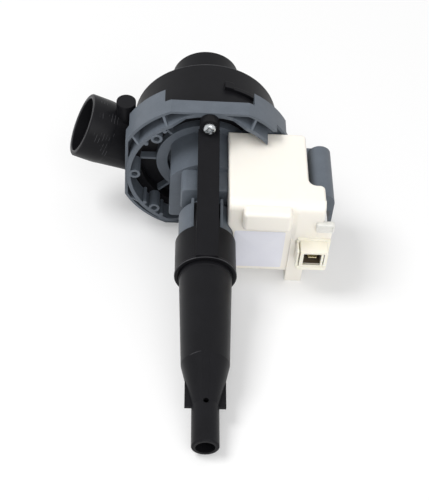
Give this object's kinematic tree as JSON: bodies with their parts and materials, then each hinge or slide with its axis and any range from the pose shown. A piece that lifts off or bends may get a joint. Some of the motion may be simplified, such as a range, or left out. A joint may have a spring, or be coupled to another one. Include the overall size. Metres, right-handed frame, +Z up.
{
  "type": "dishwasher circulation pump",
  "caption": "Wet-rotor circulation pump for a dishwasher: round volute with inlet and outlet spigots, ribbed motor flange, cream coil cover and a long tapered tail tube.",
  "frame": {"origin": "centre of the mouth of the inlet spigot, on the pump axis", "axes": "+Z up as the pump rests on its tip, flange and cover foot; +Y towards the inlet end, along the length; +X to the side of the coil cover. The pump axis is tilted 12.2 degrees, tip down"},
  "size_m": [0.1632, 0.285, 0.1039],
  "materials": {
    "black_plastic": "moulded, satin",
    "grey_plastic": "moulded, satin",
    "cream_plastic": "moulded, smooth",
    "ivory_plastic": "moulded, smooth",
    "clear_plastic": "translucent",
    "white_label": "bare white label",
    "brass": "plain",
    "zinc_steel": "zinc plated",
    "stainless": "ground",
    "rubber": "matt",
    "ceramic": "fired",
    "ferrite": "ground ferrite",
    "core_steel": "laminated",
    "winding": "enamelled copper wire",
    "impeller_plastic": "moulded"
  },
  "bodies": {
    "pump": {"volute_casing": "black_plastic", "inlet_cover": "black_plastic", "casing_seal": "rubber", "motor_flange": "grey_plastic", "rotor_can": "grey_plastic", "chamber_plate": "grey_plastic", "plate_screws": "stainless", "front_bearing_cup": "rubber", "rear_bearing_cup": "rubber", "front_bush": "ceramic", "rear_bush": "ceramic", "can_gasket": "rubber", "stator_core": "core_steel", "core_rivets": "zinc_steel", "upper_bobbin": "ivory_plastic", "upper_coil": "winding", "lower_bobbin": "ivory_plastic", "lower_coil": "winding", "coil_cover": "cream_plastic", "thermal_cutout": "ivory_plastic", "rating_label": "white_label", "terminal_housing": "ivory_plastic", "terminal_blades": "brass", "terminal_cap": "clear_plastic", "tail_retainer": "black_plastic", "retainer_screw": "zinc_steel", "tail_tube": "black_plastic"},
    "rotor": {"rotor_shaft": "stainless", "magnet_hub": "impeller_plastic", "rotor_magnet": "ferrite", "front_thrust_washer": "ceramic", "rear_thrust_washer": "ceramic", "drive_dog": "impeller_plastic", "impeller_clip": "stainless"},
    "wheel": {"impeller": "impeller_plastic", "impeller_shroud": "impeller_plastic"}
  },
  "joints": [
    {"name": "rotor_spin", "type": "hinge", "parent": "pump", "child": "rotor", "pos_m": [0, -0.09325, -0.02013], "axis": [0, -0.9775, -0.211], "continuous": true},
    {"name": "wheel_free_turn", "type": "hinge", "parent": "rotor", "child": "wheel", "pos_m": [0, -0.05611, -0.01211], "axis": [0, -0.9775, -0.211], "range_deg": [0, 239]}
  ]
}
